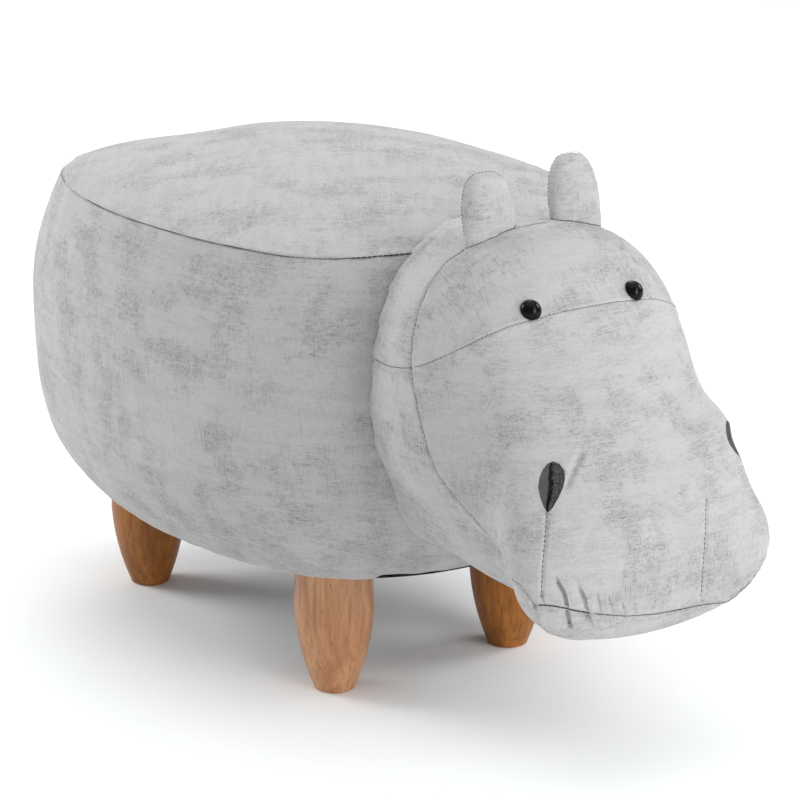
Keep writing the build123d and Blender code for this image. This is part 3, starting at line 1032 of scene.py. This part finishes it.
def panel_at(p):
    if in_front(p) < 0:
        return "upper_gusset" if above_eyes(p) > 0 else "lower_gusset"
    if above_eyes(p) > 0:
        return "forehead"
    return "muzzle" if above_mouth(p) > 0 else "chin"


head_tree = tree_from(head)
mouth_folds = [
    (drawn(head_tree, (556, 579), (564, 593), (567, 604), (568, 616), (571, 630)), 2.8 * mm),
    (drawn(head_tree, (579, 587), (585, 599), (587, 611), (590, 623)), 2.4 * mm),
    (drawn(head_tree, (597, 594), (600, 604), (601, 615)), 1.2 * mm),
    (drawn(head_tree, (608, 596), (612, 606), (613, 616)), 1.0 * mm),
    (drawn(head_tree, (621, 600), (624, 608), (625, 617)), 0.7 * mm),
    (drawn(head_tree, (634, 602), (636, 609), (636, 617)), 0.5 * mm),
    (drawn(head_tree, (541, 594), (544, 604), (545, 612)), 0.6 * mm),
]
nostril_fold = drawn(head_tree, (565, 489), (569, 480), (575, 466), (583, 452))
leaf_tip, leaf_top = (547.2, 514), (553, 460.5)
leaf_left = (
    leaf_tip, (543, 507), (539.5, 498), (537.4, 487), (538.5, 478), (542, 469), (547, 463),
    leaf_top,
)
leaf_right = (
    leaf_tip, (553, 508.5), (559, 498), (563.5, 488), (565.6, 478), (564.5, 470), (560, 463.5),
    leaf_top,
)
leaf_fold = (
    leaf_tip, (547, 507), (549.5, 496), (550.5, 491), (552.5, 486), (551, 480), (551.5, 472),
    (551, 466), leaf_top,
)
# The far leaf mirrors the near one, turned about an upright line inside the muzzle.
pivot = Vector((0, -235 * mm, 0))
round_the_side = Matrix.Rotation(math.radians(9), 3, "Z")


def column_at(pixels, row):
    for (c0, r0), (c1, r1) in zip(pixels, pixels[1:]):
        if row >= r1:
            return c0 + (c1 - c0) * (r0 - row) / (r0 - r1)
    return pixels[-1][0]


def on_leaf(side, across, rise):
    # A point of the nostril: across from -1 to 1, rise from 0 at its tip to 1 at its top.
    row = leaf_tip[1] + (leaf_top[1] - leaf_tip[1]) * rise
    fold = column_at(leaf_fold, row)
    edge = column_at(leaf_left if across < 0 else leaf_right, row)
    spot = seen_at(head_tree, fold + (edge - fold) * abs(across), row)
    if side == "right":
        return spot
    turned = round_the_side @ (Vector((-spot.x, spot.y, spot.z)) - pivot) + pivot
    out = (turned - Vector((0, pivot.y, turned.z))).normalized()
    return head_tree.ray_cast(turned + out * 40 * mm, -out)[0]


leaf_outlines = {}
rises = [0.5 - 0.5 * math.cos(math.pi * step / 40) for step in range(41)]
for side in sides:
    outline = [on_leaf(side, -1, rise) for rise in rises]
    outline += [on_leaf(side, 1, rise) for rise in rises[-2:0:-1]]
    leaf_outlines[side] = spaced(outline + outline[:1], 0.8 * mm)
darts = {
    "right": drawn(head_tree, (547, 514), (545, 540), (542, 575), (541, 603)),
    "left": drawn(head_tree, (707, 498), (706, 530), (704, 565), (701, 601)),
}
seams = head_seams(head)


def refine(piece, lines, reach):
    # Halves the faces that lie near the lines.
    near = tree_of([p for line in lines for p in line])
    bm = bmesh.new()
    bm.from_mesh(piece.data)
    close = {v for v in bm.verts if near.find(v.co)[2] < reach}
    edges = [e for e in bm.edges if e.verts[0] in close and e.verts[1] in close]
    bmesh.ops.subdivide_edges(bm, edges=edges, cuts=1, use_grid_fill=True, smooth=0.0)
    bm.to_mesh(piece.data)
    bm.free()


fine_lines = [fold for fold, depth in mouth_folds] + [nostril_fold, *leaf_outlines.values()]
broad_lines = [*seams.values(), *darts.values(), *fine_lines]
refine(head, [spaced(line, 1.5 * mm) for line in broad_lines], 4.5 * mm)
refine(head, [spaced(seams["mouth"], 1.5 * mm), *fine_lines], 3.2 * mm)
for panel in panel_order:
    head.data.materials.append(head_suedes[panel])
for face in head.data.polygons:
    face.material_index = panel_order.index(panel_at(face.center))
print("head has", len(head.data.polygons), "faces")

# %% Press in the seams
sink(head, seams["face"], 1.3 * mm, 1.6 * mm, pucker=0.5 * mm, every=9 * mm)
sink(head, seams["eyes"], 0.9 * mm, 1.3 * mm, pucker=0.25 * mm, every=8 * mm)
for side in sides:
    sink(head, seams["side_" + side], 0.9 * mm, 1.4 * mm)
sink(head, seams["jaw"], 1.0 * mm, 1.5 * mm)
sink(head, seams["mouth"], 1.5 * mm, 1.6 * mm, pucker=0.9 * mm, every=5 * mm, reach=7 * mm)
for fold, depth in mouth_folds:
    sink(head, fold, depth * 1.1, 0.6 * mm, ridge=0.12)
    sink(head, fold, depth * 0.4, 2.8 * mm)
sink(head, nostril_fold, 1.6 * mm, 1.9 * mm, ridge=0.3)
for dart in darts.values():
    sink(head, dart, 0.9 * mm, 1.4 * mm, pucker=0.3 * mm, every=4 * mm, reach=4 * mm)
for spot in eye_places:
    sink(head, [spot, spot + Vector((0, 0, 1 * mm))], 0.8 * mm, 9 * mm)
seams = head_seams(head)

# %% [markdown]
# ## Nostrils
# Each nostril is a dark leatherette leaf let into the muzzle, rounded above and pointed below.
# It sinks in along a ragged crease, smooth on one side of it and grained on the other, and the
# crease's middle is painted near black as painted shade. A flat grid is drawn to the leaf's
# outline on the muzzle. The cover's edge turns in all round it, with a thin rolled lip. The far
# leaf mirrors the near one, a little further round the side.

# %% Nostril finishes
smooth_leaf = mottled("smooth_leatherette", "#38383a", "#2a2a2c", 2 * mm, 0.5, depth=0.1 * mm)
grained_leaf = mottled("grained_leatherette", "#4c4c4e", "#0d0d0e", 1.1 * mm, 0.7, depth=0.4 * mm)
# Painted shade: the middle of the nostril crease is coloured near black.
crease_shade = mottled("crease_painted_shade", "#050505", "#020202", 1 * mm, 0.9)


def within(flat, outline):
    # Whether a flat point lies inside a closed outline.
    inside = False
    for a, b in zip(outline, outline[1:] + outline[:1]):
        if (a.y > flat.y) != (b.y > flat.y):
            if flat.x < a.x + (b.x - a.x) * (flat.y - a.y) / (b.y - a.y):
                inside = not inside
    return inside


# %% Nostril leaves and lips
def tube(name, points, radius, finish):
    # A closed ring of round cord through the points.
    curve = bpy.data.curves.new(name, "CURVE")
    curve.dimensions = "3D"
    curve.bevel_depth = radius
    curve.bevel_resolution = 2
    spline = curve.splines.new("POLY")
    spline.points.add(len(points) - 1)
    for spot, point in zip(points, spline.points):
        point.co = (*spot, 1)
    spline.use_cyclic_u = True
    line = linked(name, curve)
    data = bpy.data.meshes.new_from_object(line)
    bpy.data.objects.remove(line)
    return wear(linked(name, data), finish)


crease_half = 0.16
crease_depth, hollow_depth, grain_height = 2.2 * mm, 1.0 * mm, 0.4 * mm
leaf_inset, leaf_thickness, lip_radius = 0.5 * mm, 0.8 * mm, 0.45 * mm
for side in sides:
    middle = on_leaf(side, 0, 0.5)
    outward = head_tree.find_nearest(middle)[1]
    up = (Vector((0, 0, 1)) - outward * outward.z).normalized()
    level = up.cross(outward)
    outline = leaf_outlines[side]
    bm = bmesh.new()
    bmesh.ops.create_grid(bm, x_segments=30, y_segments=60, size=1)
    rough_side = []
    for vertex in bm.verts:
        across, rise = vertex.co.x, (vertex.co.y + 1) / 2
        out = max(abs(across), abs(vertex.co.y))
        spot = on_leaf(side, across, rise)
        ragged = 0.12 * noise.noise(Vector((rise * 14, 0.5, 2.0)))
        crease = crease_depth * bell(across - ragged, crease_half) * (1 - abs(vertex.co.y) ** 6)
        hollow = hollow_depth * (1 - out**2)
        rough = grain_height * noise.noise(spot / (1.2 * mm)) * (1 if across > 0 else 0.1) * (1 - out)
        vertex.co = spot + outward * (rough - crease - hollow - leaf_inset)
        rough_side.append((across - ragged, rise))
    bm.verts.ensure_lookup_table()
    for face in bm.faces:
        across = sum(rough_side[v.index][0] for v in face.verts) / len(face.verts)
        rise = sum(rough_side[v.index][1] for v in face.verts) / len(face.verts)
        swing = noise.noise(Vector((rise * 9, 3.0, 1.0)))
        wide = crease_half * (0.6 + 0.8 * swing + 0.6 * (1 - rise))
        # Faces in the middle of the crease get the near-black painted shade.
        face.material_index = 2 if abs(across) < wide else 1 if across > 0 else 0
    bmesh.ops.remove_doubles(bm, verts=bm.verts, dist=0.02 * mm)
    bmesh.ops.recalc_face_normals(bm, faces=bm.faces)
    leaf = object_from(bm, "nostril_" + side)
    if leaf.data.polygons[len(leaf.data.polygons) // 2].normal.dot(outward) < 0:
        leaf.data.flip_normals()
    for finish in (smooth_leaf, grained_leaf, crease_shade):
        leaf.data.materials.append(finish)
    wall = leaf.modifiers.new("thickness", "SOLIDIFY")
    wall.thickness = leaf_thickness
    wall.offset = -1
    settle(leaf)
    wear(leaf, None, ("nostril_patch_" + side,))
    lip = [p - outward * 0.2 * mm for p in outline[:-1]]
    tube("nostril_lip_" + side, lip, lip_radius, head_suedes["muzzle"])
    flat_outline = [Vector(((p - middle).dot(level), (p - middle).dot(up))) for p in outline[:-1]]
    outline_tree = tree_of(outline)
    for vertex in head.data.vertices:
        distance = outline_tree.find(vertex.co)[2]
        if distance > 20 * mm:
            continue
        flat = Vector(((vertex.co - middle).dot(level), (vertex.co - middle).dot(up)))
        inside = distance if within(flat, flat_outline) else -distance
        share = held_in((inside + 0.2 * mm) / (0.8 * mm))
        vertex.co -= outward * share * 4.5 * mm
    print("nostril", side, "is at", [round(c / mm) for c in middle])

# %% [markdown]
# ## Thread
# The seams are closed with dark grey thread. It shows as short dashes in the valley of each
# seam, two to four millimetres apart. Every dash is a slim six-sided rod, laid along the line.

# %% Stitches of the head
low_end = mouth_corner.z + 70 * mm
high_part = [p for p in seams["face"] if p.z >= low_end]
stitch("stitches_face_seam", high_part, 3.2 * mm, 2.6 * mm, 0.5 * mm)
for side, sign in (("left", 1), ("right", -1)):
    low_part = [p for p in seams["face"] if p.z < low_end and p.x * sign > 0]
    stitch("stitches_face_seam_" + side, low_part, 3.2 * mm, 2.4 * mm, 0.35 * mm, thread_pale)
stitch("stitches_eye_seam", seams["eyes"], 3.0 * mm, 2.4 * mm, 0.4 * mm)
gathered_to = seen_at(head_tree, 592, 614).x
gathered = [p for p in seams["mouth"] if p.x < gathered_to]
plain = [p for p in seams["mouth"] if p.x >= gathered_to]
stitch("stitches_mouth_corner", gathered, 3.0 * mm, 2.9 * mm, 1.0 * mm)
stitch("stitches_mouth_seam", plain, 3.0 * mm, 2.7 * mm, 0.55 * mm)
for side in sides:
    stitch("stitches_side_seam_" + side, seams["side_" + side], 3.4 * mm, 2.9 * mm, 0.5 * mm)
    sunk = tree_from(head)
    dart = [sunk.find_nearest(p)[0] for p in darts[side]]
    stitch("stitches_nostril_dart_" + side, dart, 3.2 * mm, 1.9 * mm, 0.45 * mm)
wear(head, None, tuple(p for p in head_parts if "nostril" not in p))

# %% [markdown]
# ## Ears
# An ear is a cloth loop turned right side out and lightly stuffed. Its open end is pinched in
# the face seam, so it is thin at the root and round above, with an edge seam and a shallow
# hollow in front. The solid gives its outline, and the root is squeezed towards the seam.

# %% Ears
ear_lean = 0.155
ear_edge = 1.5 * mm
ear_stretch = {"left": 1.6 * mm, "right": -2.6 * mm}
for side in sides:
    parts = ("ear_cover_" + side, "ear_stuffing_" + side)
    ear = even_skin("ear_" + side, parts, 1.9 * mm, 4)
    low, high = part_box("ear_cover_" + side)
    middle = (low + high) / 2
    tall = high.z - low.z

    def back_lean(p):
        # How far a point lies behind the ear's own leaning middle.
        return p.y - (middle.y + ear_lean * (p.z - middle.z))

    edge_seam = trace(ear, lambda p: back_lean(p) - ear_edge, lambda p: p.z > low.z + 3 * mm)
    seam_tree = tree_of(edge_seam)
    held = [
        v.index for v in ear.data.vertices
        if seam_tree.find(v.co)[2] < 1.8 * mm or v.co.z < low.z + 10 * mm
    ]
    swell(ear, held, pressure=3.0, cap=2.2 * mm, slack=0.8 * mm)
    for vertex in ear.data.vertices:
        p = vertex.co
        height = (p.z - low.z) / tall
        squeeze = 0.6 + 0.4 * min(1, height / 0.45) ** 0.8
        behind = back_lean(p)
        from_middle = ((p.x - middle.x) / (9 * mm)) ** 2
        hollow = 0.8 * mm * math.exp(-from_middle - ((height - 0.55) / 0.26) ** 2)
        gather = 0.5 * mm * noise.noise(Vector((p.x / (3 * mm), height, 1.0)))
        gather *= math.exp(-height / 0.12)
        p.y += behind * (squeeze - 1) + (hollow if behind < 0 else -0.3 * hollow) + gather
        p.x += (p.x - middle.x) * 0.10 * max(0, 1 - height / 0.45) + 1.8 * mm * (1 - height)
        p.z += ear_stretch[side] * max(0, height) ** 1.5
        if height < 0.3:
            p.z -= 5 * mm * (1 - height / 0.3)
    round_off(ear)
    lifted = tree_from(head)

    def above_head(p):
        near, normal = lifted.find_nearest(p)[:2]
        return (p - near).dot(normal) - 0.5 * mm

    root = trace(ear, above_head, lambda p: back_lean(p) < 1 * mm and p.z < low.z + 25 * mm)
    if len(root) > 8:
        stitch("stitches_ear_root_" + side, root, 2.4 * mm, 2.2 * mm, 0.5 * mm)
    edge_seam = trace(ear, lambda p: back_lean(p) - ear_edge, lambda p: p.z > low.z + 6 * mm)
    sink(ear, edge_seam, 1.0 * mm, 1.3 * mm, pucker=0.5 * mm, every=4 * mm, reach=4 * mm)
    stitch("stitches_ear_" + side, edge_seam, 2.6 * mm, 1.6 * mm, 0.35 * mm)
    wear(ear, small_suede, parts)

# %% [markdown]
# ## Tail
# The tail is a narrow strip of the cover, folded, sewn along one edge and filled. It hangs from
# the band at the back, where it is sewn in by its top.

# %% Tail
tail = even_skin("tail_strip", ("tail",), 1.9 * mm, 4)
low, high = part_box("tail")
held = [v.index for v in tail.data.vertices if not clear_of_body(v.co, 3 * mm)]
swell(tail, held, pressure=3.0, cap=2 * mm, slack=0.8 * mm)
for vertex in tail.data.vertices:
    if not clear_of_body(vertex.co):
        vertex.co.y -= 2.5 * mm
round_off(tail)
for face_side in (-1, 1):
    edge_seam = trace(tail, lambda p: p.y - (low.y + high.y) / 2, lambda p: p.x * face_side > 0)
    sink(tail, edge_seam, 0.8 * mm, 1.3 * mm, pucker=0.3 * mm, every=5 * mm, reach=5 * mm)
wear(tail, small_suede, ("tail",))

# %% [markdown]
# ## Floor and light
# The stool stands on a seamless white floor in a white room that lights it from all round. The
# soft boxes shape it: a low one in front lifts the face and the shadow's front edge, those at
# the right and behind at the left round the sides, a wide one hangs above, and the last keeps
# the floor behind the stool white. The near flank gets little of them and darkens to the head.

# %% Floor
floor_finish, tree, shader = finish_for("white_seamless_paper", roughness=0.9)
shader.inputs["Base Color"].default_value = linear("#fafcfd")
shader.inputs["Specular IOR Level"].default_value = 0.0
bm = bmesh.new()
bmesh.ops.create_grid(bm, x_segments=1, y_segments=1, size=14)
floor = object_from(bm, "floor")
floor.data.materials.append(floor_finish)

# %% Lamps
world = bpy.data.worlds.new("white_room")
bpy.context.scene.world = world
world.use_nodes = True
world.node_tree.nodes["Background"].inputs["Color"].default_value = linear("#fdfeff")
world.node_tree.nodes["Background"].inputs["Strength"].default_value = 0.46
bpy.context.scene.view_settings.view_transform = "Standard"


def lamp(name, place, aim, size, power):
    data = bpy.data.lights.new(name, "AREA")
    data.shape = "DISK"
    data.size = size
    data.energy = power
    made = linked(name, data)
    made.location = place
    made.rotation_mode = "QUATERNION"
    made.rotation_quaternion = (Vector(aim) - Vector(place)).to_track_quat("-Z", "Y")
    return made


lamp("top_softbox", (0.2, 0.0, 3.0), (0, 0, 0), 4.0, 33)
lamp("front_softbox", (0.5, -2.6, 0.7), (0, -0.1, 0.2), 1.4, 31)
lamp("front_right_softbox", (0.9, -2.4, 2.0), (0, -0.2, 0.2), 1.4, 13)
lamp("right_softbox", (2.4, -0.6, 1.6), (0, 0, 0.2), 1.4, 24)
lamp("left_softbox", (-1.45, 2.0, 1.45), (0, 0.1, 0.2), 1.4, 46)
lamp("backdrop_softbox", (1.3, 2.4, 2.6), (1.3, 2.2, 0), 2.0, 27)
print("lamps set")
